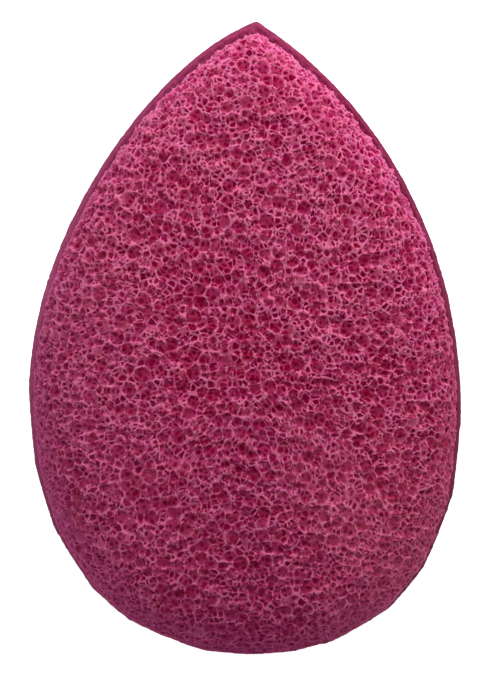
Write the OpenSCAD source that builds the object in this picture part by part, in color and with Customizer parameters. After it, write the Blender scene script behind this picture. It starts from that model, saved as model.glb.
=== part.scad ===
// Teardrop facial sponge: a coarse open-cell pad bonded to a smooth fine-cell backing.
// It lies on its smooth face, tip towards +Y, textured face up. Millimetres.
// The origin is under the middle of its length and width, on the face it rests on.

/* [Outline] */
// Length from the round base to the tip
body_length = 90; // [70:0.5:120]
// Width at the belly
body_width = 61.2; // [46:0.2:80]
// How far the tip sits to the right of the middle
tip_offset = 1.7; // [-4:0.1:4]
// How far the lowest point of the base sits to the right of the middle
base_offset = 0.7; // [-4:0.1:4]
// Height of the widest point above the base, right side
belly_height_right = 34.5; // [26:0.5:42]
// Height of the widest point above the base, left side
belly_height_left = 37.3; // [26:0.1:42]
// Angle between the long axis and the right flank at the tip
tip_angle_right = 56; // [40:0.5:75]
// Angle between the long axis and the left flank at the tip
tip_angle_left = 70.5; // [40:0.5:75]

/* [Smooth backing] */
// Thickness of the fine-cell foam
backing_thickness = 11; // [8:0.5:16]
// Radius of the edge round the face that it rests on
backing_edge_radius = 4; // [2:0.1:6]
// How far its side is drawn in at the bond line
backing_draw_in = 0.7; // [0:0.05:1.2]

/* [Bond film] */
// Thickness of the hot-melt film
film_thickness = 0.3; // [0.1:0.05:0.8]
// How far the film stays back from the backing's edge at the bond line
film_setback = 0.9; // [0.4:0.1:1.5]

/* [Textured pad] */
// Thickness of the coarse open-cell foam at the middle of its crown
pad_thickness = 13.7; // [11:0.1:18]
// How far the widest part of the pad stays inside the body outline
pad_setback = 1; // [0.4:0.1:2]
// How far its side is drawn in at the bond line
pad_draw_in = 0.6; // [0:0.05:1]
// Width of the rolled edge, measured in from the side
pad_roll_width = 8; // [6:0.1:11]
// Height of the rolled edge
pad_roll_height = 5.8; // [4:0.1:6.5]
// Rise of the crown from the rolled edge to the middle
pad_crown = 3.8; // [1:0.1:4]
// How much further the pad's soft tip stays back than its sides
pad_tip_setback = 0.5; // [0:0.1:1.5]

/* [Smoothness] */
// Points along each quarter of the outline
quarter_steps = 16; // [8:1:20]
// Rings over each rolled edge
roll_steps = 7; // [4:1:8]
// Rings up each drawn-in side
side_steps = 3; // [2:1:4]
// Rings over the crown
crown_steps = 5; // [3:1:6]

/* [Hidden] */

backing_colour = [0.50, 0.13, 0.29];
film_colour = [0.62, 0.24, 0.38];
pad_colour = [0.80, 0.30, 0.46];

quarter_turn = 90;

// Lengths of the outline's handles, as shares of the span that each one crosses
flank_tip_share_right = 0.32;
flank_belly_share_right = 0.486;
flank_tip_share_left = 0.268;
flank_belly_share_left = 0.447;
base_belly_share_right = 0.595;
base_bottom_share_right = 0.673;
base_belly_share_left = 0.6;
base_bottom_share_left = 0.62;

// How much of the way to the middle the crown's last ring has come, as a share
crown_top_share = 0.92;

// Where the film and the pad start, and where the pad is widest
film_z = backing_thickness;
pad_z = film_z + film_thickness;
pad_shoulder_z = pad_z + pad_thickness - pad_crown - pad_roll_height;
film_inset = backing_draw_in + film_setback;

// Outline

// A point on a cubic Bezier curve
function bezier(p, t) =
    pow(1 - t, 3) * p[0] + 3 * pow(1 - t, 2) * t * p[1] + 3 * (1 - t) * t * t * p[2] + pow(t, 3) * p[3];

// The teardrop drawn inside the body's edge. Every inset has the same number of points, so two of
// them can be lofted. The tip is held back by tip_setback more than the sides.
function teardrop(inset, tip_setback = 0) =
    let (
        half = body_width / 2 - inset,
        top = body_length / 2 - inset - tip_setback,
        bottom = inset - body_length / 2,
        belly_y_right = belly_height_right - body_length / 2,
        belly_y_left = belly_height_left - body_length / 2,
        tip = [tip_offset, top],
        right = [half, belly_y_right],
        base = [base_offset, bottom],
        left = [-half, belly_y_left],
        span_right = top - belly_y_right,
        span_left = top - belly_y_left,
        flank_right = span_right * flank_tip_share_right * [sin(tip_angle_right), -cos(tip_angle_right)],
        flank_left = span_left * flank_tip_share_left * [-sin(tip_angle_left), -cos(tip_angle_left)],
        quarters = [
            [tip, tip + flank_right, right + [0, span_right * flank_belly_share_right], right],
            [right, right - [0, (belly_y_right - bottom) * base_belly_share_right],
                base + [(half - base_offset) * base_bottom_share_right, 0], base],
            [base, base - [(half + base_offset) * base_bottom_share_left, 0],
                left - [0, (belly_y_left - bottom) * base_belly_share_left], left],
            [left, left + [0, span_left * flank_belly_share_left], tip + flank_left, tip]
        ]
    )
    [for (quarter = quarters) for (i = [0 : quarter_steps - 1]) bezier(quarter, i / quarter_steps)];

// A ring of points lifted to height z
function ring(points, z) = [for (p = points) [p.x, p.y, z]];

// A ring of points drawn towards the middle by a share from 0 to 1
function shrunk(points, share) = [for (p = points) p * (1 - share)];

// Profiles

// Height gained over the pad's rolled edge, at distance d in from its side
function roll_rise(d) = pad_roll_height * sqrt(max(0, 1 - pow(1 - d / pad_roll_width, 2)));

// Height gained over the crown, at distance d in from the pad's side; reach is the way to the middle
function crown_rise(d, reach) = pad_crown * (1 - pow(1 - d / reach, 2));

// How far a drawn-in side lies inside its widest level, at a share of the way to the bond line
function drawn(amount, share) = amount * share * share;

// A closed skin over a stack of rings with the same number of points, capped at both ends
module loft(rings) {
    n = len(rings[0]);
    last = len(rings) - 1;
    points = [for (r = rings) each r];
    sides = [
        for (k = [0 : last - 1]) for (i = [0 : n - 1])
            let (a = k * n + i, b = k * n + (i + 1) % n)
            each [[a, b + n, b], [a, a + n, b + n]]
    ];
    bottom = [for (i = [0 : n - 1]) i];
    top = [for (i = [n - 1 : -1 : 0]) last * n + i];
    polyhedron(points, concat([bottom], sides, [top]), convexity = 4);
}

// Sub-parts

// Fine-cell foam: a flat face to rest on, a rolled lower edge and a side drawn in to the bond line
module smooth_backing() {
    side_height = backing_thickness - backing_edge_radius;
    rolled = [
        for (k = [0 : roll_steps])
            let (
                angle = quarter_turn * k / roll_steps,
                inset = backing_edge_radius * (1 - sin(angle)),
                z = backing_edge_radius * (1 - cos(angle))
            )
            ring(teardrop(inset), z)
    ];
    side = [
        for (k = [1 : side_steps])
            let (share = k / side_steps)
            ring(teardrop(drawn(backing_draw_in, share)), backing_edge_radius + side_height * share)
    ];
    color(backing_colour) loft(concat(rolled, side));
}

// Hot-melt film that joins the two foams, set back so that a fine groove shows round the seam
module bond_film() {
    color(film_colour)
        translate([0, 0, film_z])
            linear_extrude(film_thickness) polygon(teardrop(film_inset, pad_tip_setback));
}

// Coarse open-cell foam: a drawn-in side, a wide rolled edge and a crown
module textured_pad() {
    side_height = pad_shoulder_z - pad_z;
    reach = body_width / 2 - pad_setback;
    inner = teardrop(pad_setback + pad_roll_width, pad_tip_setback);
    side = [
        for (k = [0 : side_steps - 1])
            let (
                share = k / side_steps,
                inset = pad_setback + drawn(pad_draw_in, 1 - share)
            )
            ring(teardrop(inset, pad_tip_setback), pad_z + side_height * share)
    ];
    rolled = [
        for (k = [0 : roll_steps])
            let (
                d = pad_roll_width * (1 - cos(quarter_turn * k / roll_steps)),
                z = pad_shoulder_z + roll_rise(d) + crown_rise(d, reach)
            )
            ring(teardrop(pad_setback + d, pad_tip_setback), z)
    ];
    crowned = [
        for (k = [1 : crown_steps])
            let (
                share = crown_top_share * k / crown_steps,
                d = pad_roll_width + (reach - pad_roll_width) * share
            )
            ring(shrunk(inner, share), pad_shoulder_z + roll_rise(pad_roll_width) + crown_rise(d, reach))
    ];
    color(pad_colour) loft(concat(side, rolled, crowned));
}

smooth_backing();
bond_film();
textured_pad();
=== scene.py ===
"""Teardrop facial sponge: a coarse open-cell pad bonded to a smooth fine-cell backing.

Blender works in metres; the shapes here are worked out in millimetres and scaled by MM at the end.
"""

import math

import bpy
import numpy as np
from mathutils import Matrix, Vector


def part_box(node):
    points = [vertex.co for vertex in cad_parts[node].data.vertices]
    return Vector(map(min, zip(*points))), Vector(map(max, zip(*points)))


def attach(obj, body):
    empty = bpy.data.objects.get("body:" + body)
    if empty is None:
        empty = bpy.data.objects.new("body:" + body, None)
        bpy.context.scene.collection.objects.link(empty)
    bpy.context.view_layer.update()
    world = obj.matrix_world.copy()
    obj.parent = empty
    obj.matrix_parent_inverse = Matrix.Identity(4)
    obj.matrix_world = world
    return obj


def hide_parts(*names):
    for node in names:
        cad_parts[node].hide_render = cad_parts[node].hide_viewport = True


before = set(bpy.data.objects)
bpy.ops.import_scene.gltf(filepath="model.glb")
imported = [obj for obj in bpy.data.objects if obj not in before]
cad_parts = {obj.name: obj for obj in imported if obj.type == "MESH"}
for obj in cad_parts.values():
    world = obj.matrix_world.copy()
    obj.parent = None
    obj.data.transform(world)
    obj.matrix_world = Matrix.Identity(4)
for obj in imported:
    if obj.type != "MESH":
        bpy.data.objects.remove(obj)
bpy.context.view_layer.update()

MM = 0.001
TINY = 1e-9
LEAST_NORMAL = 1e-12


def box_mm(node):
    """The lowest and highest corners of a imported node, in millimetres."""
    low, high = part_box(node)
    return np.array(low) / MM, np.array(high) / MM


back_low, back_high = box_mm("smooth_backing")
pad_low, pad_high = box_mm("textured_pad")

# Body outline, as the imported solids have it
BODY_LENGTH = back_high[1] - back_low[1]
BODY_WIDTH = back_high[0] - back_low[0]
TIP_OFFSET = 1.7
BASE_OFFSET = 0.7
BELLY_HEIGHT_RIGHT = 34.5
BELLY_HEIGHT_LEFT = 37.3
FLANK_BELLY_SHARES = (0.486, 0.447)
BASE_BELLY_SHARES = (0.595, 0.6)
BASE_BOTTOM_SHARES = (0.673, 0.62)

# The flanks at the tip, which open 1 to 1.5 degrees wider than the solids' own to follow the photo
TIP_ANGLE_RIGHT = math.radians(57.5)
TIP_ANGLE_LEFT = math.radians(71.5)
FLANK_TIP_SHARES = (0.32, 0.268)

# How far the base of both foams lies inside the solids' own, to follow the photo
BASE_LIFT = 0.42

# The shares of the base's right and left quarters at which the hand-cut edge turns, and how straight it runs
# between them
BASE_TURNS_RIGHT_SHARES = (0, 0.2, 0.42, 0.58, 0.78, 0.9, 1)
BASE_TURNS_LEFT_SHARES = (0, 0.12, 0.34, 0.48, 0.68, 0.84, 1)
CUT_STRAIGHTNESS = 0.6

# Smooth backing
BACKING_TOP = back_high[2]
BACKING_EDGE = 4.0
BACKING_DRAW_IN = 0.7

# Textured pad
PAD_BASE = pad_low[2]
PAD_TOP = pad_high[2]
PAD_SETBACK = pad_low[0] - back_low[0]
PAD_TIP_SETBACK = back_high[1] - pad_high[1] - PAD_SETBACK
PAD_DRAW_IN = 0.6
PAD_ROLL_WIDTH = 8.0
PAD_ROLL_HEIGHT = 5.8
PAD_CROWN = 3.8
PAD_SHOULDER = PAD_TOP - PAD_CROWN - PAD_ROLL_HEIGHT
PAD_REACH = BODY_WIDTH / 2 - PAD_SETBACK

# Spacing of the points on each skin, the fewest in a ring, and the samples along the curves of a profile
PAD_STEP = 0.12
BACKING_STEP = 0.2
FEWEST_IN_RING = 12
SIDE_SAMPLES = 60
BACKING_EDGE_SAMPLES = 80
PAD_ROLL_SAMPLES = 200


# Outline

def bezier(p, count):
    """Points along a cubic curve, its last point left out."""
    t = np.linspace(0, 1, count, endpoint=False)[:, None]
    a, b, c, d = (np.array(q, float) for q in p)
    return (1 - t) ** 3 * a + 3 * (1 - t) ** 2 * t * b + 3 * (1 - t) * t * t * c + t ** 3 * d


def hand_cut(curve, turns):
    """The curve drawn towards straight cuts between the given shares of it."""
    share = np.linspace(0, 1, len(curve))
    corners = np.column_stack([np.interp(turns, share, curve[:, axis]) for axis in (0, 1)])
    cuts = np.column_stack([np.interp(share, turns, corners[:, axis]) for axis in (0, 1)])
    return curve + CUT_STRAIGHTNESS * (cuts - curve)


def teardrop(inset, tip_setback=0.0, count=160):
    """The body's outline drawn in by inset, clockwise from the tip."""
    half = BODY_WIDTH / 2 - inset
    top = BODY_LENGTH / 2 - inset - tip_setback
    bottom = inset - BODY_LENGTH / 2 + BASE_LIFT
    belly = (BELLY_HEIGHT_RIGHT - BODY_LENGTH / 2, BELLY_HEIGHT_LEFT - BODY_LENGTH / 2)
    tip = np.array([TIP_OFFSET, top])
    right = np.array([half, belly[0]])
    base = np.array([BASE_OFFSET, bottom])
    left = np.array([-half, belly[1]])
    span = (top - belly[0], top - belly[1])
    drop = (belly[0] - bottom, belly[1] - bottom)
    way_right = np.array([math.sin(TIP_ANGLE_RIGHT), -math.cos(TIP_ANGLE_RIGHT)])
    way_left = np.array([-math.sin(TIP_ANGLE_LEFT), -math.cos(TIP_ANGLE_LEFT)])
    flank_right = span[0] * FLANK_TIP_SHARES[0] * way_right
    flank_left = span[1] * FLANK_TIP_SHARES[1] * way_left
    quarters = (
        (tip, tip + flank_right, right + [0, span[0] * FLANK_BELLY_SHARES[0]], right),
        (right, right - [0, drop[0] * BASE_BELLY_SHARES[0]],
         base + [(half - BASE_OFFSET) * BASE_BOTTOM_SHARES[0], 0], base),
        (base, base - [(half + BASE_OFFSET) * BASE_BOTTOM_SHARES[1], 0],
         left - [0, drop[1] * BASE_BELLY_SHARES[1]], left),
        (left, left + [0, span[1] * FLANK_BELLY_SHARES[1]], tip + flank_left, tip),
    )
    curves = [bezier(q, count) for q in quarters]
    curves[1] = hand_cut(np.vstack([curves[1], base]), BASE_TURNS_RIGHT_SHARES)[:-1]
    curves[2] = hand_cut(np.vstack([curves[2], left]), BASE_TURNS_LEFT_SHARES)[:-1]
    return np.concatenate(curves)


def evenly(ring, count):
    """The closed ring as count evenly spaced points, from the same start."""
    closed = np.vstack([ring, ring[:1]])
    run = np.concatenate([[0], np.cumsum(np.hypot(*np.diff(closed, axis=0).T))])
    at = np.linspace(0, run[-1], count, endpoint=False)
    return np.column_stack([np.interp(at, run, closed[:, axis]) for axis in (0, 1)])


def perimeter(ring):
    """The length of the closed ring."""
    return np.hypot(*np.diff(np.vstack([ring, ring[:1]]), axis=0).T).sum()


def softened(ring, width, grain=0.1, fewest=48):
    """The ring with its corner rounded, by a running mean of the given width."""
    fine = evenly(ring, max(int(perimeter(ring) / grain), fewest))
    n = int(width / grain) | 1
    kernel = np.ones(n) / n
    out = []
    for axis in (0, 1):
        padded = np.concatenate([fine[-n:, axis], fine[:, axis], fine[:n, axis]])
        out.append(np.convolve(padded, kernel, "same")[n:-n])
    return np.column_stack(out)


def spaced(ring, step):
    """The ring as points about a step apart."""
    return evenly(ring, max(int(perimeter(ring) / step), FEWEST_IN_RING))


def ring_at(inset, tip_setback, step, rounding):
    """The outline drawn in by inset, with its tip rounded, as points about a step apart."""
    return spaced(softened(teardrop(inset, tip_setback), rounding), step)


def reach_to(ring, xy):
    """How far from the middle the ring lies, in the direction of each place."""
    angle = np.arctan2(ring[:, 1], ring[:, 0])
    order = np.argsort(angle)
    towards = np.arctan2(xy[:, 1], xy[:, 0])
    return np.interp(towards, angle[order], np.hypot(*ring[order].T), period=2 * math.pi)


def along(profile, step):
    """The profile as evenly spaced points, and the distance covered at each."""
    run = np.concatenate([[0], np.cumsum(np.hypot(*np.diff(profile, axis=0).T))])
    at = np.linspace(0, run[-1], int(run[-1] / step) + 1)
    return np.column_stack([np.interp(at, run, profile[:, c]) for c in (0, 1)]), at


# Skins made of rings

def at_height(ring, z):
    """The flat ring lifted to height z."""
    return np.column_stack([ring, np.full(len(ring), z)])


def side_rings(profile, stretch, tip_setback, step, rounding):
    """Rings up a profile of (inset, height), and their places in the bake map, pushed out by stretch."""
    rings, maps = [], []
    for (inset, z), extra in zip(profile, stretch):
        ring = ring_at(inset, tip_setback, step, rounding)
        rings.append(at_height(ring, z))
        maps.append(ring * (1 + extra / np.hypot(*ring.T))[:, None])
    return rings, maps


def flat_rings(inset, spacing, z, tip_setback, rounding):
    """Smaller and smaller rings inside an edge, and a middle point. spacing holds (how far in, step)."""
    flat = [at_height(ring_at(inset + way_in, tip_setback, step, rounding), z) for way_in, step in spacing]
    return flat + [np.array([[0, 0, z]])]


def stitch(counts):
    """Triangles between neighbouring rings of the given point counts, facing away from their inside."""
    tris = []
    base = 0
    for a, b in zip(counts[:-1], counts[1:]):
        i = np.arange(a)
        j = np.ceil((i + 0.5) * b / a - 0.5).astype(int) % b
        tris.append(np.column_stack([base + i, base + a + j, base + (i + 1) % a]))
        j = np.arange(b)
        i = np.floor((j + 0.5) * a / b + 0.5).astype(int) % a
        tris.append(np.column_stack([base + a + j, base + a + (j + 1) % b, base + i]))
        base += a
    return np.concatenate(tris)


def fan(start, count, upward):
    """Triangles over a small ring that starts at the given index, to the point that follows it."""
    i = np.arange(count)
    a, b = start + i, start + (i + 1) % count
    middle = np.full(count, start + count)
    return np.column_stack([a, middle, b] if upward else [a, b, middle])


def close_face(edge_start, edge_count, flat, base, upward):
    """Triangles that close an edge ring over flat rings and their middle point, which start at index base."""
    counts = [edge_count] + [len(ring) for ring in flat[:-1]]
    tris = stitch(counts)
    tris = tris if upward else tris[:, [0, 2, 1]]
    tris = np.where(tris < edge_count, tris + edge_start, tris - edge_count + base)
    return np.concatenate([tris, fan(base + sum(counts[1:-1]), counts[-1], upward)])


def close_crease(start, count):
    """Triangles that close the last, nearly flat ring by joining its two sides."""
    a = np.arange(count // 2)
    left = (count - a) % count
    left_next = (count - a - 1) % count
    first = np.column_stack([start + a, start + left_next, start + a + 1])
    second = np.column_stack([start + a, start + left, start + left_next])
    tris = np.concatenate([first, second])
    ok = (tris[:, 0] != tris[:, 1]) & (tris[:, 1] != tris[:, 2]) & (tris[:, 0] != tris[:, 2])
    return tris[ok]


def vertex_normals(points, tris):
    """Unit normals at the points, from the triangles round each."""
    p = points[tris]
    face = np.cross(p[:, 1] - p[:, 0], p[:, 2] - p[:, 0])
    out = np.zeros_like(points)
    for axis in range(3):
        for corner in range(3):
            out[:, axis] += np.bincount(tris[:, corner], face[:, axis], len(points))
    return out / np.maximum(np.linalg.norm(out, axis=1), LEAST_NORMAL)[:, None]


def eased(values, tris, share):
    """Values at the points, each drawn by a share towards its neighbours' mean."""
    total, count = np.zeros(len(values)), np.zeros(len(values))
    for a, b in ((0, 1), (1, 2), (2, 0)):
        for i, j in ((tris[:, a], tris[:, b]), (tris[:, b], tris[:, a])):
            total += np.bincount(i, values[j], len(values))
            count += np.bincount(i, minlength=len(values))
    return values * (1 - share) + share * total / np.maximum(count, 1)


def lattice_noise(points, size, rng):
    """Smooth noise from -1 to 1 with lumps of about the given size, one number or one for each axis."""
    u = points / np.array(size)
    u = u - u.min(0) + 1
    cell = u.astype(int)
    grid = rng.random(tuple(cell.max(0) + 2)) * 2 - 1
    f = u - cell
    f = f * f * (3 - 2 * f)
    out = np.zeros(len(points))
    for i in (0, 1):
        for j in (0, 1):
            for k in (0, 1):
                weight = (f[:, 0] if i else 1 - f[:, 0]) * (f[:, 1] if j else 1 - f[:, 1])
                weight = weight * (f[:, 2] if k else 1 - f[:, 2])
                out += grid[cell[:, 0] + i, cell[:, 1] + j, cell[:, 2] + k] * weight
    return out


def ramp_up(values, start, span):
    """0 up to the start, then up to 1 over the span."""
    return np.clip((values - start) / span, 0, 1)


# Foam: bubbles that push each other apart, then polyhedral cells with windows in their walls

# A wall too far away to be met, and the margins that keep a ray from meeting a wall twice
FAR = 1e3
NUDGE = 1e-6
SAME_WALL = 1e-5

# Factors and shifts that scramble the numbers of two cells, and the bits that are kept
HASH_LOWER = np.uint64(2654435761)
HASH_HIGHER = np.uint64(40503)
HASH_SALT = np.uint64(97531)
HASH_MIX = np.uint64(0x9E3779B97F4A7C15)
HASH_FIRST_SHIFT = np.uint64(15)
HASH_SECOND_SHIFT = np.uint64(31)
HASH_KEPT = np.uint64(0xFFFFFF)
WINDOW_SALT = 2
STRUT_SALT = 3

# Shares of a strut's thickness, how round windows and hollows are, and the limits of walls and searches
STRUT_SHARES = (0.4, 1.7)
WINDOW_ROUND_SHARE = 0.4
WINDOW_ROUND_LEAST = 0.02
HOLLOW_ROUND_SHARE = 1.6
LEAST_SINE_SQUARED = 0.05
WIDEST_WALL = 2
MOST_HOPS = 40


def close_pairs(points, reach):
    """Pairs of points nearer to each other than the sum of their reaches."""
    cell = 2 * reach.max()
    ijk = ((points - points.min(0)) / cell).astype(np.int64) + 1
    dims = ijk.max(0) + 2
    keys = (ijk[:, 0] * dims[1] + ijk[:, 1]) * dims[2] + ijk[:, 2]
    order = np.argsort(keys, kind="stable")
    keys = keys[order]
    steps = [(i, j, k) for i in (-1, 0, 1) for j in (-1, 0, 1) for k in (-1, 0, 1) if (i, j, k) > (0, 0, 0)]
    firsts, seconds = [], []
    for i, j, k in [(0, 0, 0)] + steps:
        other = keys + (i * dims[1] + j) * dims[2] + k
        stop = np.searchsorted(keys, other, "right")
        start = np.arange(len(keys)) + 1 if (i, j, k) == (0, 0, 0) else np.searchsorted(keys, other, "left")
        count = np.maximum(stop - start, 0)
        a = np.repeat(np.arange(len(keys)), count)
        b = np.repeat(start, count) + np.arange(count.sum()) - np.repeat(np.cumsum(count) - count, count)
        a, b = order[a], order[b]
        near = ((points[a] - points[b]) ** 2).sum(1) < (reach[a] + reach[b]) ** 2
        firsts.append(a[near])
        seconds.append(b[near])
    return np.concatenate(firsts), np.concatenate(seconds)


def settle(points, radii, rounds, refresh=8, slack=1.25, push=0.45):
    """Bubbles that overlap push apart, the small ones further than the big ones."""
    for n in range(rounds):
        if n % refresh == 0:
            a, b = close_pairs(points, radii * slack)
        gap = points[a] - points[b]
        dist = np.sqrt((gap ** 2).sum(1)) + TINY
        lap = radii[a] + radii[b] - dist
        hit = lap > 0
        first, second = a[hit], b[hit]
        step = gap[hit] * (push * lap[hit] / dist[hit])[:, None]
        share = (radii[second] ** 2 / (radii[first] ** 2 + radii[second] ** 2))[:, None]
        for axis in range(3):
            points[:, axis] += np.bincount(first, (step * share)[:, axis], len(points))
            points[:, axis] -= np.bincount(second, (step * (1 - share))[:, axis], len(points))
    return points


def draw_radii(rng, volume, fill, sizes):
    """Bubble radii that together fill a share of the volume. sizes holds (share of number, least, most)."""
    shares, least, most = (np.array(c) for c in zip(*sizes))
    mean = (shares * (most ** 4 - least ** 4) / (4 * (most - least))).sum() * 4 / 3 * math.pi
    count = int(volume * fill / mean)
    kind = rng.choice(len(shares), count, p=shares)
    return least[kind] + (most - least)[kind] * rng.random(count)


def wall_chance(i, j, salt):
    """A number from 0 to 1 for the wall between two cells, the same from either side."""
    x = np.minimum(i, j).astype(np.uint64) * HASH_LOWER
    x += np.maximum(i, j).astype(np.uint64) * HASH_HIGHER + np.uint64(salt) * HASH_SALT
    x ^= x >> HASH_FIRST_SHIFT
    x *= HASH_MIX
    x ^= x >> HASH_SECOND_SHIFT
    return (x & HASH_KEPT).astype(np.float32) / np.float32(HASH_KEPT)


def rounded_least(values, blend):
    """The least value of each row, eased by blend where others come close to it."""
    least = values.min(1)
    return least - blend * np.log(np.exp((least[:, None] - values) / blend[:, None]).sum(1))


class Foam:
    """Foam cells with rounded corners. A ray walks from cell to cell, through the windows in their walls.

    strut is half a strut's width, rim the least and greatest share of a wall that is left round its window.
    Films nearer to the skin than torn are missing. corner and fillet are in shares of a cell's radius.
    """

    def __init__(self, points, radii, strut, rim, torn, corner, fillet, most=30, reach=2.0):
        self.strut, self.rim, self.torn = strut, rim, torn
        self.corner, self.fillet = corner, fillet
        self.centre = points.astype(np.float32)
        self.radius = radii.astype(np.float32)
        self.find_walls(points, radii, most, reach)
        self.start_grid(points)
        self.measure_walls(most)

    def find_walls(self, points, radii, most, reach):
        """For each cell, its nearest walls: the cell beyond, the direction and the distance."""
        a, b = close_pairs(points, radii * reach)
        a, b = np.concatenate([a, b]), np.concatenate([b, a])
        gap = points[b] - points[a]
        dist = np.sqrt((gap ** 2).sum(1))
        wall = (dist ** 2 + radii[a] ** 2 - radii[b] ** 2) / (2 * dist)
        order = np.lexsort((wall, a))
        a, b, wall, way = a[order], b[order], wall[order], (gap / dist[:, None])[order]
        rank = np.arange(len(a)) - np.searchsorted(a, a, "left")
        ok = rank < most
        shape = (len(points), most)
        self.beside = np.full(shape, -1, np.int32)
        self.way = np.zeros(shape + (3,), np.float32)
        self.wall = np.full(shape, FAR, np.float32)
        self.beside[a[ok], rank[ok]] = b[ok]
        self.way[a[ok], rank[ok]] = way[ok]
        self.wall[a[ok], rank[ok]] = wall[ok]

    def start_grid(self, points, cell=0.6, spreads=8):
        """For each box of a grid, one cell in or near it."""
        self.cell, self.low = cell, points.min(0) - cell
        self.dims = ((points.max(0) - self.low) / cell).astype(int) + 2
        grid = np.full(self.dims, -1)
        grid[tuple(((points - self.low) / cell).astype(int).T)] = np.arange(len(points))
        for _ in range(spreads):
            for axis in range(3):
                for step in (1, -1):
                    grid = np.where(grid < 0, np.roll(grid, step, axis), grid)
        self.grid = grid

    def measure_walls(self, most):
        """For each wall, how far its nearest edge is from the middle."""
        rows = np.arange(len(self.centre))
        self.inner = np.zeros((len(rows), most), np.float32)
        for k in range(most):
            middle = self.centre + self.way[:, k] * self.wall[:, k][:, None]
            nearest = self.edge_gaps(rows, np.full(len(rows), k), middle).min(1)
            self.inner[:, k] = nearest.clip(0, WIDEST_WALL)

    def find(self, p):
        """The cell that holds each point."""
        at = np.clip(((p - self.low) / self.cell).astype(int), 0, self.dims - 1)
        i = self.grid[at[:, 0], at[:, 1], at[:, 2]]
        live = np.arange(len(p))
        for _ in range(MOST_HOPS):
            mine = i[live]
            d = self.depths(mine, p[live])
            k = d.argmin(1)
            out = d[np.arange(len(d)), k] < -NUDGE
            if not out.any():
                break
            i[live[out]] = self.beside[mine[out], k[out]]
            live = live[out]
        return i

    def depths(self, i, p):
        """How far each point lies inside each wall of its cell."""
        return self.wall[i] - np.einsum("nkj,nj->nk", self.way[i], p - self.centre[i])

    def edge_gaps(self, i, k, p):
        """For points on wall k of cell i: how far along the wall each of its edges is."""
        way = self.way[i]
        cosine = np.einsum("nkj,nj->nk", way, way[np.arange(len(i)), k])
        gaps = self.depths(i, p) / np.sqrt(np.maximum(1 - cosine ** 2, LEAST_SINE_SQUARED))
        gaps[np.arange(len(i)), k] = FAR
        return np.where(self.beside[i] < 0, FAR, gaps)

    def room(self, i, p):
        """How far each point lies inside the rounded hollow of its cell; below 0 in the foam itself."""
        d = np.where(self.beside[i] < 0, FAR, self.depths(i, p))
        return rounded_least(d, self.corner * self.radius[i])

    def film_met(self, i, k, gaps):
        """Whether a ray that crosses wall k of cell i meets the rim that is left round its window."""
        inner = self.inner[i, k]
        chance = wall_chance(i, self.beside[i, k], WINDOW_SALT)
        rim = self.rim[0] + (self.rim[1] - self.rim[0]) * chance
        return rounded_least(gaps, WINDOW_ROUND_SHARE * inner + WINDOW_ROUND_LEAST) < rim * inner

    def next_wall(self, i, p, way, depth):
        """The wall through which each ray leaves its cell, and how far along the ray that is."""
        speed = np.einsum("nkj,nj->nk", self.way[i], way)
        out = np.where(speed > NUDGE, self.depths(i, p) / np.maximum(speed, NUDGE), FAR)
        out = np.where((self.beside[i] < 0) | (out < depth[:, None] - SAME_WALL), FAR, out)
        k = out.argmin(1)
        return k, out[np.arange(len(i)), k]

    def cast(self, points, way, deepest, steps=10, chunk=60000):
        """Depth of the foam along each ray, and the number of cells passed."""
        parts = []
        for s in range(0, len(points), chunk):
            p = points[s:s + chunk].astype(np.float32)
            parts.append(self.walk(p, way[s:s + chunk].astype(np.float32), deepest, steps))
        return [np.concatenate(c) for c in zip(*parts)]

    def walk(self, p, way, deepest, steps):
        """The same for one chunk of rays, a step at a time."""
        depth = np.zeros(len(p), np.float32)
        passed = np.zeros(len(p), np.float32)
        i = self.find(p)
        room = np.maximum(self.room(i, p), 0)
        rounding = np.sqrt(2 * room * self.radius[i]) * HOLLOW_ROUND_SHARE
        live = np.flatnonzero(room > 0)
        for _ in range(steps):
            if not len(live):
                break
            mine, d, here = i[live], way[live], p[live]
            k, leave = self.next_wall(mine, here, d, depth[live])
            gaps = self.edge_gaps(mine, k, here + d * leave[:, None])
            least = gaps.min(1)
            beyond = self.beside[mine, k]
            chance = wall_chance(mine, beyond, STRUT_SALT)
            thick = self.strut * (STRUT_SHARES[0] + STRUT_SHARES[1] * chance ** 2)
            hit = (least < thick) | (self.film_met(mine, k, gaps) & (leave > self.torn))
            size = self.radius[mine]
            rise = self.fillet[0] * size * np.exp(-np.maximum(least, 0) / (self.fillet[1] * size))
            depth[live] = np.maximum(leave - np.where(hit, rise, 0), depth[live])
            passed[live] += 1
            go = ~hit & (leave < deepest) & (beyond >= 0)
            i[live[go]] = beyond[go]
            live = live[go]
        return np.minimum(np.minimum(depth, rounding), deepest), passed


# Meshes

# Margin round the bake map, and the scale and place of the copy that the hidden faces share
BAKE_MARGIN = 2
HIDDEN_SCALE = 0.25
HIDDEN_PLACE = (0.8, 0.02)


def bake_corners(tris, spread, plan, hidden_count):
    """Map places for the corners of all faces. The last, hidden ones share a small copy of the plan."""
    low = spread.min(0)
    side = (spread - low).max() + 2 * BAKE_MARGIN
    main = (spread - low + BAKE_MARGIN) / side
    small = (plan - plan.min(0)) * HIDDEN_SCALE / side + HIDDEN_PLACE
    hidden = np.arange(len(tris)) >= len(tris) - hidden_count
    faces = tris.reshape(-1, 3)
    return np.where(hidden[:, None, None], small[faces], main[faces]).reshape(-1, 2)


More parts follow.
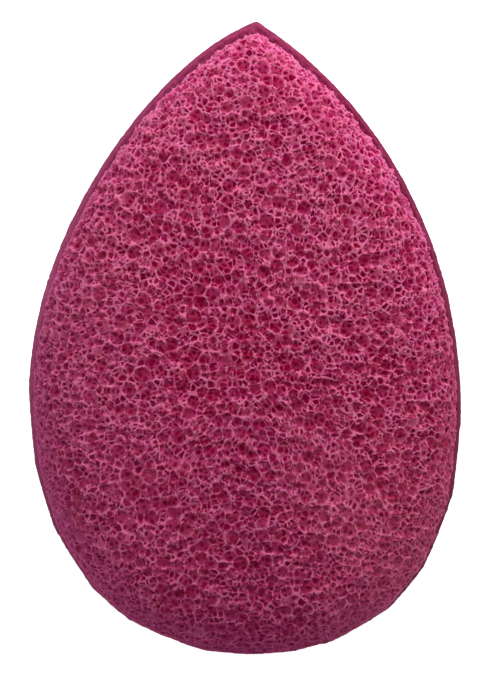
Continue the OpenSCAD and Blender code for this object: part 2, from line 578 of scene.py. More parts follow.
def make_object(name, points, tris, corners, tone_and_painted_shade, painted_light, material):
    """A mesh object in metres, corners its bake map, its looks tone with painted shade and painted light
    (colour, amount).
    """
    mesh = bpy.data.meshes.new(name)
    mesh.vertices.add(len(points))
    mesh.vertices.foreach_set("co", (points * MM).astype(np.float32).ravel())
    mesh.loops.add(3 * len(tris))
    mesh.loops.foreach_set("vertex_index", tris.astype(np.int32).ravel())
    mesh.polygons.add(len(tris))
    mesh.polygons.foreach_set("loop_start", np.arange(0, 3 * len(tris), 3, dtype=np.int32))
    mesh.update(calc_edges=True)
    mesh.validate()
    layer = mesh.uv_layers.new(name="OFBake")
    layer.data.foreach_set("uv", corners.astype(np.float32).ravel())
    shades = mesh.attributes.new("tone_and_painted_shade", "FLOAT", "POINT")
    shades.data.foreach_set("value", tone_and_painted_shade.astype(np.float32))
    painted_lights = mesh.attributes.new("painted_light", "FLOAT_COLOR", "POINT")
    painted_lights.data.foreach_set("color", painted_light.astype(np.float32).ravel())
    mesh.shade_smooth()
    mesh.materials.append(material)
    obj = bpy.data.objects.new(name, mesh)
    bpy.context.scene.collection.objects.link(obj)
    return obj


# Colours

# How quickly the painted light turns from its left colour to its right one across the middle
PAINTED_LIGHT_TURN = 1.5


def srgb(*rgb):
    """A colour given as 0 to 255, in the linear values that shaders take."""
    linear = [c / 255 / 12.92 if c < 10.3 else ((c / 255 + 0.055) / 1.055) ** 2.4 for c in rgb]
    return (*linear, 1.0)


def painted_light_at(xy, amount, colours):
    """Painted light by direction, a colour and amount for each place. colours holds (y share of direction,
    left, right).
    """
    way = xy / np.maximum(np.hypot(*xy.T), TINY)[:, None]
    places = [c[0] for c in colours]
    left, right = (np.array([c[side] for c in colours])[:, :3] for side in (1, 2))
    rightward = np.clip(0.5 + PAINTED_LIGHT_TURN * way[:, 0], 0, 1)
    out = np.ones((len(xy), 4))
    for k in range(3):
        out[:, k] = (np.interp(way[:, 1], places, left[:, k]) * (1 - rightward)
                     + np.interp(way[:, 1], places, right[:, k]) * rightward)
    out[:, 3] = amount
    return out


# Materials

# Pores, darkened by painted shade: where their shade changes, from the middle out, and how light the ground
# is
PORE_EDGES = (0.15, 0.55)
PORE_GROUND = 0.4

# Foam: the sheen's roughness, the glow's spread by colour, its reach, and the grain
SHEEN_ROUGHNESS = 0.5
GLOW_SPREAD = (1.0, 0.12, 0.35)
GLOW_REACH = 1.4 * MM
GRAIN_DETAIL = 4
GRAIN_SHADE = 0.2

# Patches of slightly different hue: their size, noise levels and turn
PATCH_SIZE = 1.6 * MM
PATCH_LEVELS = (0.3, 0.7)
PATCH_HUES = (0.495, 0.505)

FILM_PATCH_SIZE = 1.2 * MM


def nodes_of(material):
    """The emptied node tree of a material or world, as its nodes and links."""
    material.use_nodes = True
    tree = material.node_tree
    tree.nodes.clear()
    return tree.nodes, tree.links


def noise_at(nodes, links, place, scale, detail=2):
    """Noise of the given scale, from 0 to 1."""
    noise = nodes.new("ShaderNodeTexNoise")
    noise.inputs["Scale"].default_value = scale
    noise.inputs["Detail"].default_value = detail
    links.new(place, noise.inputs["Vector"])
    return noise.outputs["Fac"]


def carried_over(nodes, links, value, source, target):
    """The value carried over from the source range to the target range."""
    level = nodes.new("ShaderNodeMapRange")
    for name, number in zip(("From Min", "From Max", "To Min", "To Max"), (*source, *target)):
        level.inputs[name].default_value = number
    links.new(value, level.inputs["Value"])
    return level.outputs["Result"]


def colour_ramp(nodes, links, value, stops):
    """The colour for the value. stops holds (place, colour)."""
    ramp = nodes.new("ShaderNodeValToRGB")
    elements = ramp.color_ramp.elements
    while len(elements) < len(stops):
        elements.new(0.5)
    for element, (at, colour) in zip(elements, stops):
        element.position = at
        element.color = colour
    links.new(value, ramp.inputs["Fac"])
    return ramp.outputs["Color"]


def attribute(nodes, name):
    """The node that reads a mesh attribute."""
    node = nodes.new("ShaderNodeAttribute")
    node.attribute_name = name
    return node


def pore_painted_shade(nodes, links, place, size, depth):
    """Painted shade at the middle of small round pores of the given size in metres, lighter between them."""
    pores = nodes.new("ShaderNodeTexVoronoi")
    pores.inputs["Scale"].default_value = 1 / size
    links.new(place, pores.inputs["Vector"])
    return carried_over(nodes, links, pores.outputs["Distance"], PORE_EDGES, (-depth, PORE_GROUND * depth))


def grained_shade(nodes, links, place, grain, pores):
    """The mesh's tone and painted shade, with fine grain and the pores' painted shade."""
    vary = nodes.new("ShaderNodeMath")
    vary.operation = "MULTIPLY_ADD"
    links.new(noise_at(nodes, links, place, grain, GRAIN_DETAIL), vary.inputs[0])
    vary.inputs[1].default_value = GRAIN_SHADE
    links.new(attribute(nodes, "tone_and_painted_shade").outputs["Fac"], vary.inputs[2])
    pitted = nodes.new("ShaderNodeMath")
    links.new(vary.outputs[0], pitted.inputs[0])
    links.new(pore_painted_shade(nodes, links, place, *pores), pitted.inputs[1])
    return pitted.outputs[0]


def under_painted_light(nodes, links, colour):
    """The colour under the mesh's painted light, a painted sheen and shade by direction."""
    painted_light = attribute(nodes, "painted_light")
    painted_light_veil = nodes.new("ShaderNodeMix")
    painted_light_veil.data_type = "RGBA"
    links.new(painted_light.outputs["Alpha"], painted_light_veil.inputs["Factor"])
    links.new(colour, painted_light_veil.inputs["A"])
    links.new(painted_light.outputs["Color"], painted_light_veil.inputs["B"])
    return painted_light_veil.outputs["Result"]


def in_patches(nodes, links, place, colour):
    """The colour in patches of slightly different hue."""
    patches = noise_at(nodes, links, place, 1 / PATCH_SIZE)
    hue = nodes.new("ShaderNodeHueSaturation")
    links.new(carried_over(nodes, links, patches, PATCH_LEVELS, PATCH_HUES), hue.inputs["Hue"])
    links.new(colour, hue.inputs["Color"])
    return hue.outputs["Color"]


def foam_shader(nodes, roughness, sheen, sheen_tint, glow):
    """A matt shader with a soft sheen, which glows where light passes through thin foam."""
    shader = nodes.new("ShaderNodeBsdfPrincipled")
    values = {"Roughness": roughness, "Specular IOR Level": 0.0, "Sheen Weight": sheen,
              "Sheen Roughness": SHEEN_ROUGHNESS, "Sheen Tint": sheen_tint, "Subsurface Weight": glow,
              "Subsurface Radius": GLOW_SPREAD, "Subsurface Scale": GLOW_REACH}
    for name, value in values.items():
        shader.inputs[name].default_value = value
    return shader


def foam_material(name, stops, roughness, sheen, sheen_tint, grain, pores, glow):
    """Foam with painted shade from strut to cell wall to hole. stops holds (place, colour), pores (size,
    depth).
    """
    material = bpy.data.materials.new(name)
    nodes, links = nodes_of(material)
    place = nodes.new("ShaderNodeTexCoord").outputs["Object"]
    colour = colour_ramp(nodes, links, grained_shade(nodes, links, place, grain, pores), stops)
    colour = in_patches(nodes, links, place, under_painted_light(nodes, links, colour))
    shader = foam_shader(nodes, roughness, sheen, sheen_tint, glow)
    out = nodes.new("ShaderNodeOutputMaterial")
    links.new(colour, shader.inputs["Base Color"])
    links.new(shader.outputs["BSDF"], out.inputs["Surface"])
    return material


def coarse_foam_material():
    """Open-cell foam: pink struts over holes made crimson by painted shade."""
    stops = ((0.0, srgb(124, 0, 40)), (0.35, srgb(140, 14, 62)),
             (0.65, srgb(160, 46, 87)), (1.0, srgb(205, 107, 142)))
    return foam_material("coarse_foam", stops, roughness=0.75, sheen=0.04, sheen_tint=srgb(230, 160, 200),
                         grain=2400, pores=(0.32 * MM, 0.06), glow=0.8)


def fine_foam_material():
    """Fine-cell foam: velvety, deep magenta, with painted shade in small pores."""
    stops = ((0.0, srgb(100, 16, 50)), (0.4, srgb(124, 30, 66)),
             (0.75, srgb(140, 42, 80)), (1.0, srgb(164, 62, 102)))
    return foam_material("fine_foam", stops, roughness=0.85, sheen=0.06, sheen_tint=srgb(200, 160, 225),
                         grain=900, pores=(0.55 * MM, 0.5), glow=0.0)


def film_material():
    """Hot-melt film: satin, a little uneven in tone."""
    material = bpy.data.materials.new("bond_film")
    nodes, links = nodes_of(material)
    place = nodes.new("ShaderNodeTexCoord").outputs["Object"]
    stops = ((0.0, srgb(118, 34, 66)), (1.0, srgb(160, 66, 98)))
    colour = colour_ramp(nodes, links, noise_at(nodes, links, place, 1 / FILM_PATCH_SIZE), stops)
    shader = nodes.new("ShaderNodeBsdfPrincipled")
    shader.inputs["Roughness"].default_value = 0.45
    out = nodes.new("ShaderNodeOutputMaterial")
    links.new(colour, shader.inputs["Base Color"])
    links.new(shader.outputs["BSDF"], out.inputs["Surface"])
    return material


# Textured pad

PAD_SEED = 11
PAD_TIP_ROUND = 1.6

# The rings that close the pad's underside: how far in each lies, and the step between its points
PAD_UNDER_RINGS = ((0.6, 0.4), (1.6, 0.9), (3.4, 1.8), (6.5, 3.2), (12.0, 5.0), (20.0, 6.0))

# Cells: (share of number, least radius, greatest), how full the foam is of them, how far outside the skin and
# how deep inside they are made, and the rounds in which they settle
COARSE_SIZES = ((0.32, 0.24, 0.44), (0.40, 0.44, 0.76), (0.28, 0.76, 1.06))
COARSE_FILL = 0.72
COARSE_MARGIN = 1.2
COARSE_OUTSIDE = 1.4
COARSE_SHELL = 4.6
COARSE_SIDE_SHELL = 5.6
COARSE_ROUNDS = 40

# The distance to the side, as a share of that along the line to the middle
SIDE_SLANT_SHARE = 0.85

# How deep a ray may see, its lean, how much of its depth the skin follows, and how far depths are evened
COARSE_DEEPEST = 3.0
LOOK_DOWN = 0.8
COARSE_SQUEEZE = 0.4
COARSE_EASE = 0.12

# Waviness of the cut face: (size of its lumps, height), crests, and a ragged edge near the tip
CUT_NOISE = (((2.3, 1.2, 1.2), 0.26), ((1.0, 0.7, 0.7), 0.2))
CUT_SINK = 0.05
CREST_SIZE = (2.2, 1.1, 1.1)
CREST_RISE = 0.27
CREST_SHARPNESS = 4
RAGGED_SIZE = (1.3, 1.3, 5.0)
RAGGED_RISE = 0.25
RAGGED_MIDDLE = 4
RAGGED_WIDTH = 3.5
RAGGED_LEVEL = 0.2
RAGGED_TIP_GAIN = 1.5

# Unevenness of the cells as seen from the skin
WOBBLE = 0.09
WOBBLE_SIZE = 0.45

# How far from the seam the waviness grows, and the start and span of being clear of the seam
SEAM_FADE = 0.5
CLEAR_ZONE = (1, 3)

# The calm side: where it ends above the seam, how calm it is, and how far it flattens and fills the cells
CALM_START = 2.5
CALM_SPAN = 6.5
CALM_BASE_SPAN = 7
CALM_LEVEL = 0.9
CALM_TIP_LOSS = 1.1
CALM_RIGHT_LOSS = 0.35
CALM_AT_SEAM = 0.35
CALM_FLATNESS = 0.8
CALM_SHALLOWNESS = 0.6

# Tone of a strut, painted shade with depth and per window passed, painted light with height and towards the
# tip
STRUT_SHADE = 0.95
DEPTH_PAINTED_SHADE = 0.66
DEPTH_REACH = 0.9
WINDOW_PAINTED_SHADE = 0.24
LIFT_PAINTED_LIGHT = 0.27
TIP_PAINTED_LIGHT = 0.04
TIP_PAINTED_LIGHT_REACH = 30

# The same on the calm side, and the share of it that is used there
CALM_SHADE = 0.66
CALM_WINDOW_PAINTED_SHADE = 0.38
CALM_MOST_WINDOWS = 1.5
CALM_LIFT_PAINTED_LIGHT = 0.3
CALM_SHADE_SHARE = 0.9

# Patches of tone, and painted shade at the tuck by the seam
TONE_SIZE = (0.9, 0.5, 0.5)
TONE_SHADE = 0.06
TUCK_PAINTED_SHADE = 0.3
TUCK_REACH = 1.5

# Painted light by direction, a painted sheen and shade: its colours, how strong it is on the calm side,
# towards the base and on the left, and how it follows the shade
COARSE_PAINTED_LIGHT = (
    (-1, srgb(136, 52, 104), srgb(142, 56, 104)),
    (-0.85, srgb(176, 82, 132), srgb(222, 112, 150)),
    (-0.4, srgb(176, 84, 134), srgb(200, 98, 124)),
    (0, srgb(178, 90, 136), srgb(192, 96, 116)),
    (1, srgb(200, 100, 140), srgb(200, 100, 130)),
)
PAINTED_LIGHT_CALM = 0.5
PAINTED_LIGHT_BASE = 0.28
PAINTED_LIGHT_BASE_ZONE = (4, 36)
PAINTED_LIGHT_LEFT = 0.22
PAINTED_LIGHT_LEFT_ZONE = (8, 20)
PAINTED_LIGHT_ON_HOLES = 0.35
PAINTED_LIGHT_PER_SHADE = 1.1
PAINTED_LIGHT_LEAST = 0.25

# Painted shade at the base's brink: how dark it is, how high it reaches, where it begins and how it spares
# struts
BRINK_PAINTED_SHADE_COLOUR = srgb(68, 14, 44)
BRINK_DARK = 0.7
BRINK_AT_SEAM = 0.3
BRINK_TOP = 7.6
BRINK_SPAN = 1.7
BRINK_FROM = 0.84
BRINK_GAIN = 6
BRINK_STRUTS_SPARED = 0.65


def pad_level(xy, ring):
    """Height of the pad's crown over xy. ring is the start of the crown."""
    share = np.clip(1 - np.hypot(*xy.T) / reach_to(ring, xy), 0, 1)
    d = PAD_ROLL_WIDTH + (PAD_REACH - PAD_ROLL_WIDTH) * share
    return PAD_SHOULDER + PAD_ROLL_HEIGHT + PAD_CROWN * (1 - (1 - d / PAD_REACH) ** 2)


def pad_profile():
    """(inset, height) up the pad's side and over its rolled edge."""
    up = np.linspace(0, 1, SIDE_SAMPLES, endpoint=False)
    insets = PAD_SETBACK + PAD_DRAW_IN * (1 - up) ** 2
    side = np.column_stack([insets, PAD_BASE + (PAD_SHOULDER - PAD_BASE) * up])
    turn = np.linspace(0, math.pi / 2, PAD_ROLL_SAMPLES)
    d = PAD_ROLL_WIDTH * (1 - np.cos(turn))
    z = PAD_SHOULDER + PAD_ROLL_HEIGHT * np.sin(turn) + PAD_CROWN * (1 - (1 - d / PAD_REACH) ** 2)
    return np.vstack([side, np.column_stack([PAD_SETBACK + d, z])])


def crown_rings(outer):
    """Rings that shrink from the start of the crown to a line along its middle, and how far in each is."""
    width = (outer[:, 0].max() - outer[:, 0].min()) / 2
    low, high = outer[:, 1].min(), outer[:, 1].max()
    share = (outer[:, 1] - low) / (high - low)
    ridge = np.column_stack([BASE_OFFSET + (TIP_OFFSET - BASE_OFFSET) * share,
                             low + width + (high - low - 2 * width) * share])
    count = int(width / PAD_STEP)
    for k in range(1, count):
        ring = softened(outer + (ridge - outer) * k / count, PAD_TIP_ROUND)
        yield spaced(ring, PAD_STEP), width * k / count


def pad_skin():
    """Points, triangles, bake map, the distance of the shown points from the seam, and their number."""
    profile, run = along(pad_profile(), PAD_STEP)
    stretch = run[-1] - run - (profile[-1, 0] - profile[:, 0])
    rings, maps = side_rings(profile, stretch, PAD_TIP_SETBACK, PAD_STEP, PAD_TIP_ROUND)
    seam = [np.full(len(ring), s) for ring, s in zip(rings, run)]
    crown_start = teardrop(PAD_SETBACK + PAD_ROLL_WIDTH, PAD_TIP_SETBACK)
    for ring, way_in in crown_rings(crown_start):
        rings.append(np.column_stack([ring, pad_level(ring, crown_start)]))
        maps.append(ring)
        seam.append(np.full(len(ring), run[-1] + way_in))
    counts = [len(ring) for ring in rings]
    shown = sum(counts)
    under = flat_rings(profile[0, 0], PAD_UNDER_RINGS, PAD_BASE, PAD_TIP_SETBACK, PAD_TIP_ROUND)
    underside = close_face(0, counts[0], under, shown, False)
    points = np.concatenate(rings + under)
    tris = np.concatenate([stitch(counts), close_crease(shown - counts[-1], counts[-1]), underside])
    spread = np.vstack([np.concatenate(maps), points[shown:, :2]])
    corners = bake_corners(tris, spread, points[:, :2], len(underside))
    return points, tris, corners, np.concatenate(seam), shown


def coarse_cells(rng, points):
    """Cells for the pad, wherever its skin may cut them."""
    low, high = points.min(0) - COARSE_MARGIN, points.max(0) + COARSE_MARGIN
    radii = draw_radii(rng, np.prod(high - low), COARSE_FILL, COARSE_SIZES)
    spots = low + (high - low) * rng.random((len(radii), 3))
    reach = reach_to(teardrop(PAD_SETBACK, PAD_TIP_SETBACK), spots[:, :2])
    inset = (reach - np.hypot(*spots[:, :2].T)) * SIDE_SLANT_SHARE
    level = pad_level(spots[:, :2], teardrop(PAD_SETBACK + PAD_ROLL_WIDTH, PAD_TIP_SETBACK))
    keep = (inset > -COARSE_OUTSIDE) & ((inset < COARSE_SIDE_SHELL) | (spots[:, 2] > level - COARSE_SHELL))
    spots, radii = spots[keep], radii[keep]
    spots = settle(spots, radii, COARSE_ROUNDS)
    return Foam(spots, radii, strut=0.105, rim=(0.03, 0.33), torn=0.35, corner=0.07, fillet=(0.35, 0.25))


def pad_calm(seam, tipward, rightward):
    """How calm the pad's cut face is at each point, from 0 on the crown up to 1."""
    up = np.clip((seam - CALM_START) / (CALM_SPAN + CALM_BASE_SPAN * np.clip(-tipward, 0, 1)), 0, 1)
    calm = (1 - up * up * (3 - 2 * up)) * np.clip(CALM_LEVEL - CALM_TIP_LOSS * tipward, 0, 1)
    calm = calm * (1 - CALM_RIGHT_LOSS * rightward)
    return calm * (CALM_AT_SEAM + (1 - CALM_AT_SEAM) * ramp_up(seam, *CLEAR_ZONE))


def pad_lift(skin, seam, tipward, calm, rng):
    """How far the waviness of the cut face lifts each point."""
    lift = sum(height * lattice_noise(skin, size, rng) for size, height in CUT_NOISE) - CUT_SINK
    crest = (1 - np.abs(lattice_noise(skin, CREST_SIZE, rng))) ** CREST_SHARPNESS
    lift = lift + CREST_RISE * (crest - crest.mean())
    lift = lift * (1 - CALM_FLATNESS * calm)
    ragged = np.exp(-((seam - RAGGED_MIDDLE) / RAGGED_WIDTH) ** 2)
    ragged = ragged * np.clip(RAGGED_LEVEL + RAGGED_TIP_GAIN * tipward, 0, 1)
    return lift + RAGGED_RISE * lattice_noise(skin, RAGGED_SIZE, rng) * ragged


def seen_from_skin(foam, skin, out, inner, rng):
    """The depth of the foam seen from each point of the skin, and the number of cells passed."""
    wobble = WOBBLE * np.column_stack([lattice_noise(skin, WOBBLE_SIZE, rng) for _ in range(3)])
    aim = -out - [0, 0, LOOK_DOWN]
    aim = aim / np.linalg.norm(aim, axis=1)[:, None]
    return [eased(seen, inner, COARSE_EASE) for seen in foam.cast(skin + wobble, aim, COARSE_DEEPEST)]


def pad_shade(skin, seam, lift, depth, passed, calm, rng):
    """Tone with painted shade, from about 1 on struts to 0 in holes, and painted light where high and towards
    the tip.
    """
    through = np.maximum(passed - 1, 0)
    # Painted shade with depth and per window passed, and painted light where the cut face is raised and
    # towards the tip
    bare = STRUT_SHADE - DEPTH_PAINTED_SHADE * (1 - np.exp(-depth / DEPTH_REACH)) - WINDOW_PAINTED_SHADE * through
    bare = bare + LIFT_PAINTED_LIGHT * lift
    bare = bare + TIP_PAINTED_LIGHT * np.clip(skin[:, 1] / TIP_PAINTED_LIGHT_REACH, -1, 1)
    veiled = CALM_SHADE - CALM_WINDOW_PAINTED_SHADE * np.minimum(through, CALM_MOST_WINDOWS) + CALM_LIFT_PAINTED_LIGHT * lift
    tone = TONE_SHADE * lattice_noise(skin, TONE_SIZE, rng)
    # Painted shade at the tuck by the seam, on the calm side
    tuck_painted_shade = TUCK_PAINTED_SHADE * np.exp(-seam / TUCK_REACH) * calm
    return bare + (veiled - bare) * CALM_SHADE_SHARE * calm + tone - tuck_painted_shade


def pad_painted_light(skin, tone_and_painted_shade, calm, leftward):
    """The painted light over each point, a painted sheen and shade by direction: a colour and an amount."""
    left = leftward * ramp_up(-skin[:, 0], *PAINTED_LIGHT_LEFT_ZONE)
    base = ramp_up(-skin[:, 1], *PAINTED_LIGHT_BASE_ZONE)
    painted_light_veil = 1 - (1 - PAINTED_LIGHT_CALM * calm) * (1 - PAINTED_LIGHT_BASE * base) * (1 - PAINTED_LIGHT_LEFT * left)
    amount = painted_light_veil * np.clip(PAINTED_LIGHT_ON_HOLES + PAINTED_LIGHT_PER_SHADE * tone_and_painted_shade, PAINTED_LIGHT_LEAST, 1)
    return painted_light_at(skin[:, :2], amount, COARSE_PAINTED_LIGHT)


def with_painted_brink_shade(painted_light, tone_and_painted_shade, seam, tipward):
    """The painted light drawn to the colour of painted shade at the brink of the base."""
    clear = BRINK_AT_SEAM + (1 - BRINK_AT_SEAM) * ramp_up(seam, *CLEAR_ZONE)
    brink_painted_shade = BRINK_DARK * clear * ramp_up(-seam, -BRINK_TOP, BRINK_SPAN)
    brink_painted_shade = brink_painted_shade * np.clip(BRINK_GAIN * (-tipward - BRINK_FROM), 0, 1)
    brink_painted_shade = brink_painted_shade * (1 - BRINK_STRUTS_SPARED * np.clip(tone_and_painted_shade, 0, 1))
    return painted_light + (np.array(BRINK_PAINTED_SHADE_COLOUR) - painted_light) * brink_painted_shade[:, None]


def build_pad(material):
    """The coarse foam: a skin pressed in to the cells behind it."""
    rng = np.random.default_rng(PAD_SEED)
    points, tris, corners, seam, shown = pad_skin()
    skin, out = points[:shown], vertex_normals(points, tris)[:shown]
    foam = coarse_cells(rng, skin)
    reach = np.hypot(skin[:, 0], skin[:, 1])
    tipward, across = skin[:, 1] / reach, skin[:, 0] / reach
    calm = pad_calm(seam, tipward, np.clip(across, 0, 1))
    fade = np.clip(seam / SEAM_FADE, 0, 1)
    lift = pad_lift(skin, seam, tipward, calm, rng)
    skin = skin + out * (lift * fade)[:, None]
    depth, passed = seen_from_skin(foam, skin, out, tris[(tris < shown).all(1)], rng)
    sunk = COARSE_SQUEEZE * (1 - np.exp(-depth / COARSE_SQUEEZE)) * fade * (1 - CALM_SHALLOWNESS * calm)
    points[:shown] = skin - out * sunk[:, None]
    tone_and_painted_shade, painted_light = np.zeros(len(points)), np.zeros((len(points), 4))
    tone_and_painted_shade[:shown] = pad_shade(skin, seam, lift, depth, passed, calm, rng)
    # Painted sheen and shade by direction, stronger on the calm side, towards the base and on the left
    painted_light_veil = pad_painted_light(skin, tone_and_painted_shade[:shown], calm, np.clip(-across, 0, 1))
    # Painted shade at the brink of the base
    painted_light[:shown] = with_painted_brink_shade(painted_light_veil, tone_and_painted_shade[:shown], seam, tipward)
    return make_object("textured_pad_foam", points, tris, corners, tone_and_painted_shade, painted_light, material)


# Smooth backing

BACKING_SEED = 23
BACKING_TIP_ROUND = 0.3

# The rings that close its two faces: how far in each lies, and the step between its points
BACKING_FACE_RINGS = ((0.5, 0.4), (1.3, 0.7), (2.6, 1.2), (5.0, 2.0), (9.0, 3.0), (14.0, 4.0), (20.0, 5.0))

# How far its shown ledge runs on under the pad
LEDGE_UNDER_PAD = 1.4

# Coarse and fine lumps: their sizes, heights and shades, how far in they lie, and where they are full-grown
LUMP_SIZES = (0.9, 0.42)
LUMP_HEIGHTS = (0.06, 0.08)
LUMP_SHADES = (0.2, 0.3)
LUMP_SINK = 0.08
REST_EASE = 0.6

# Shade: the tone in general, painted shade at the ledge beside the pad, and the tone on the two faces
BACKING_SHADE = 0.5
LEDGE_PAINTED_SHADE = 0.16
LEDGE_ZONE = 1.2

# Painted light by direction: its colours, its amount, which is less at the tip, and its amount on the two
# faces
FINE_PAINTED_LIGHT = (
    (-1, srgb(150, 62, 102), srgb(144, 56, 88)),
    (-0.6, srgb(172, 82, 124), srgb(118, 42, 52)),
    (0.3, srgb(216, 112, 158), srgb(132, 44, 62)),
    (0.85, srgb(196, 92, 136), srgb(126, 36, 60)),
)
FINE_PAINTED_LIGHT_AMOUNT = 0.4
FINE_PAINTED_LIGHT_TIP_LOSS = 0.2
FACE_PAINTED_LIGHT_AMOUNT = 0.12


def backing_profile():
    """(inset, height) from the rest face round the lower edge, up the side and in over the ledge."""
    turn = np.linspace(0, math.pi / 2, BACKING_EDGE_SAMPLES, endpoint=False)
    edge = np.column_stack([BACKING_EDGE * (1 - np.sin(turn)), BACKING_EDGE * (1 - np.cos(turn))])
    up = np.linspace(0, 1, SIDE_SAMPLES)
    side = np.column_stack([BACKING_DRAW_IN * up ** 2, BACKING_EDGE + (BACKING_TOP - BACKING_EDGE) * up])
    ledge_end = PAD_SETBACK + PAD_DRAW_IN + LEDGE_UNDER_PAD
    return np.vstack([edge, side, [[ledge_end, BACKING_TOP]]])


def backing_skin():
    """Points, triangles, bake map and the number of points that aren't on its two flat faces."""
    profile, run = along(backing_profile(), BACKING_STEP)
    stretch = run - (BACKING_EDGE - profile[:, 0])
    rings, maps = side_rings(profile, stretch, 0.0, BACKING_STEP, BACKING_TIP_ROUND)
    counts = [len(ring) for ring in rings]
    round_it = sum(counts)
    below = flat_rings(profile[0, 0], BACKING_FACE_RINGS, 0.0, 0.0, BACKING_TIP_ROUND)
    above = flat_rings(profile[-1, 0], BACKING_FACE_RINGS, BACKING_TOP, 0.0, BACKING_TIP_ROUND)
    above_start = round_it + sum(len(ring) for ring in below)
    rest_face = close_face(0, counts[0], below, round_it, False)
    glued_face = close_face(round_it - counts[-1], counts[-1], above, above_start, True)
    points = np.concatenate(rings + below + above)
    tris = np.concatenate([stitch(counts), rest_face, glued_face])
    spread = np.vstack([np.concatenate(maps), points[round_it:, :2]])
    return points, tris, bake_corners(tris, spread, points[:, :2], len(glued_face)), round_it


def build_backing(material):
    """The fine foam: a lumpy skin with flat faces above and below."""
    rng = np.random.default_rng(BACKING_SEED)
    points, tris, corners, round_it = backing_skin()
    coarse, fine = (lattice_noise(points, size, rng) for size in LUMP_SIZES)
    bumps = LUMP_HEIGHTS[0] * coarse + LUMP_HEIGHTS[1] * fine
    inside = np.clip(points[:, 2] / REST_EASE, 0, 1)
    points = points + vertex_normals(points, tris) * ((bumps - LUMP_SINK) * inside)[:, None]
    ledge = ramp_up(points[:, 2] - BACKING_TOP, -LEDGE_ZONE, LEDGE_ZONE)
    tone_and_painted_shade = BACKING_SHADE + LUMP_SHADES[0] * coarse + LUMP_SHADES[1] * fine
    # Painted shade on the ledge, in the groove along the pad's edge
    tone_and_painted_shade = tone_and_painted_shade - LEDGE_PAINTED_SHADE * ledge * (1 - coarse)
    tone_and_painted_shade[round_it:] = BACKING_SHADE
    tipward = points[:, 1] / np.maximum(np.hypot(points[:, 0], points[:, 1]), TINY)
    # Painted light by direction, lighter on the left and darker on the right, less of it towards the tip
    amount = FINE_PAINTED_LIGHT_AMOUNT - FINE_PAINTED_LIGHT_TIP_LOSS * np.clip(tipward, 0, 1)
    painted_light = painted_light_at(points[:, :2], amount, FINE_PAINTED_LIGHT)
    painted_light[round_it:, 3] = FACE_PAINTED_LIGHT_AMOUNT
    return make_object("smooth_backing_foam", points, tris, corners, tone_and_painted_shade, painted_light, material)


# Bond film

def dress_film():
    """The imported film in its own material."""
    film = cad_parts["bond_film"]
    material = film_material()
    if not film.material_slots:
        film.data.materials.append(material)
    for slot in film.material_slots:
        slot.material = material


# Floor, lamps and camera

FLOOR_SIZE = 3.0
FLOOR_COLOUR = (0.85, 0.85, 0.85, 1)
FLOOR_GLOW = 0.84
WHITE = (1, 1, 1, 1)

CAMERA_DISTANCE = 0.8
CAMERA_TILT = math.radians(2.8)
CAMERA_AIM = (0.0007, -0.00012, 0.010)
CAMERA_CLIP = 0.05
FRAME_HEIGHT_MM = 96.2
SENSOR = 36.0


def straight_rays(nodes, links):
    """1 for rays from the camera, also by way of a mirror or glass, and 0 for those that carry light."""
    path = nodes.new("ShaderNodeLightPath")
    result = path.outputs["Is Camera Ray"]
    for kind in ("Is Glossy Ray", "Is Transmission Ray"):
        either = nodes.new("ShaderNodeMath")
        either.operation = "MAXIMUM"
        links.new(result, either.inputs[0])
        links.new(path.outputs[kind], either.inputs[1])
        result = either.outputs[0]
    return result


def floor_material():
    """White where the camera sees it, with the object's soft shadow."""
    material = bpy.data.materials.new("floor_white")
    nodes, links = nodes_of(material)
    out = nodes.new("ShaderNodeOutputMaterial")
    matt = nodes.new("ShaderNodeBsdfDiffuse")
    matt.inputs["Color"].default_value = FLOOR_COLOUR
    glow = nodes.new("ShaderNodeEmission")
    seen = nodes.new("ShaderNodeMath")
    seen.operation = "MULTIPLY"
    seen.inputs[1].default_value = FLOOR_GLOW
    links.new(straight_rays(nodes, links), seen.inputs[0])
    links.new(seen.outputs[0], glow.inputs["Strength"])
    both = nodes.new("ShaderNodeAddShader")
    links.new(matt.outputs[0], both.inputs[0])
    links.new(glow.outputs[0], both.inputs[1])
    links.new(both.outputs[0], out.inputs["Surface"])
    return material


def build_floor():
    """The white floor that the sponge lies on."""
    mesh = bpy.data.meshes.new("floor")
    s = FLOOR_SIZE / 2
    mesh.from_pydata([(-s, -s, 0), (s, -s, 0), (s, s, 0), (-s, s, 0)], [], [(0, 1, 2, 3)])
    mesh.materials.append(floor_material())
    floor = bpy.data.objects.new("floor", mesh)
    bpy.context.scene.collection.objects.link(floor)


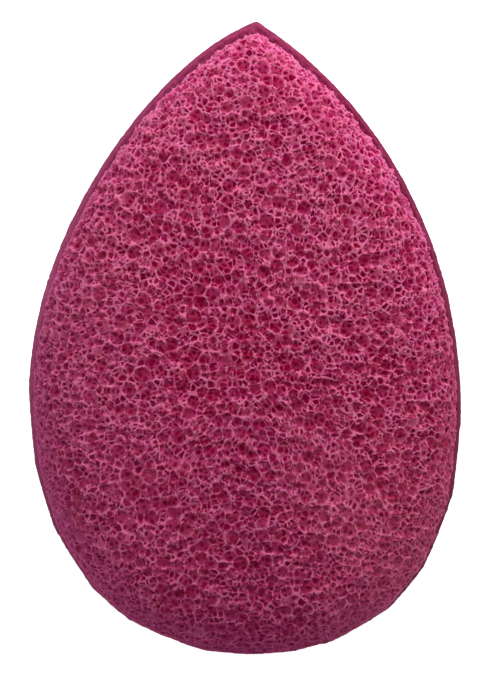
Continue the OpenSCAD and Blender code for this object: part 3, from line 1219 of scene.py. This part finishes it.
def area_lamp(name, place, aim, size, power):
    """A round lamp at a place, turned to its aim."""
    data = bpy.data.lights.new(name, "AREA")
    data.shape = "DISK"
    data.size = size
    data.energy = power
    lamp = bpy.data.objects.new(name, data)
    lamp.location = place
    lamp.rotation_euler = (Vector(aim) - Vector(place)).to_track_quat("-Z", "Y").to_euler()
    bpy.context.scene.collection.objects.link(lamp)


def build_world(strength):
    """Even light from all round, seen by the camera as white."""
    world = bpy.data.worlds.new("studio")
    bpy.context.scene.world = world
    nodes, links = nodes_of(world)
    out = nodes.new("ShaderNodeOutputWorld")
    light = nodes.new("ShaderNodeBackground")
    light.inputs["Strength"].default_value = strength
    white = nodes.new("ShaderNodeBackground")
    white.inputs["Color"].default_value = WHITE
    pick = nodes.new("ShaderNodeMixShader")
    links.new(straight_rays(nodes, links), pick.inputs[0])
    links.new(light.outputs[0], pick.inputs[1])
    links.new(white.outputs[0], pick.inputs[2])
    links.new(pick.outputs[0], out.inputs["Surface"])


def build_camera():
    """Almost straight above the sponge, leaning a little towards its tip."""
    data = bpy.data.cameras.new("camera")
    camera = bpy.data.objects.new("camera", data)
    bpy.context.scene.collection.objects.link(camera)
    data.sensor_width = SENSOR
    data.lens = SENSOR * CAMERA_DISTANCE / (FRAME_HEIGHT_MM * MM)
    data.clip_start = CAMERA_CLIP
    away = Vector((0, math.sin(CAMERA_TILT), math.cos(CAMERA_TILT)))
    camera.location = Vector(CAMERA_AIM) + CAMERA_DISTANCE * away
    camera.rotation_euler = (-CAMERA_TILT, 0, 0)
    bpy.context.scene.camera = camera


# Pieces and stage

pad = build_pad(coarse_foam_material())
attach(pad, "root")
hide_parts("textured_pad")

backing = build_backing(fine_foam_material())
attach(backing, "root")
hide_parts("smooth_backing")

dress_film()

build_floor()
area_lamp("key", place=(0.045, 0.2, 0.18), aim=(0, 0.01, 0.02), size=0.42, power=1.18)
area_lamp("fill", place=(-0.11, -0.2, 0.12), aim=(0, 0, 0.015), size=0.3, power=0.14)
build_world(0.28)
build_camera()
bpy.context.scene.view_settings.view_transform = "Standard"
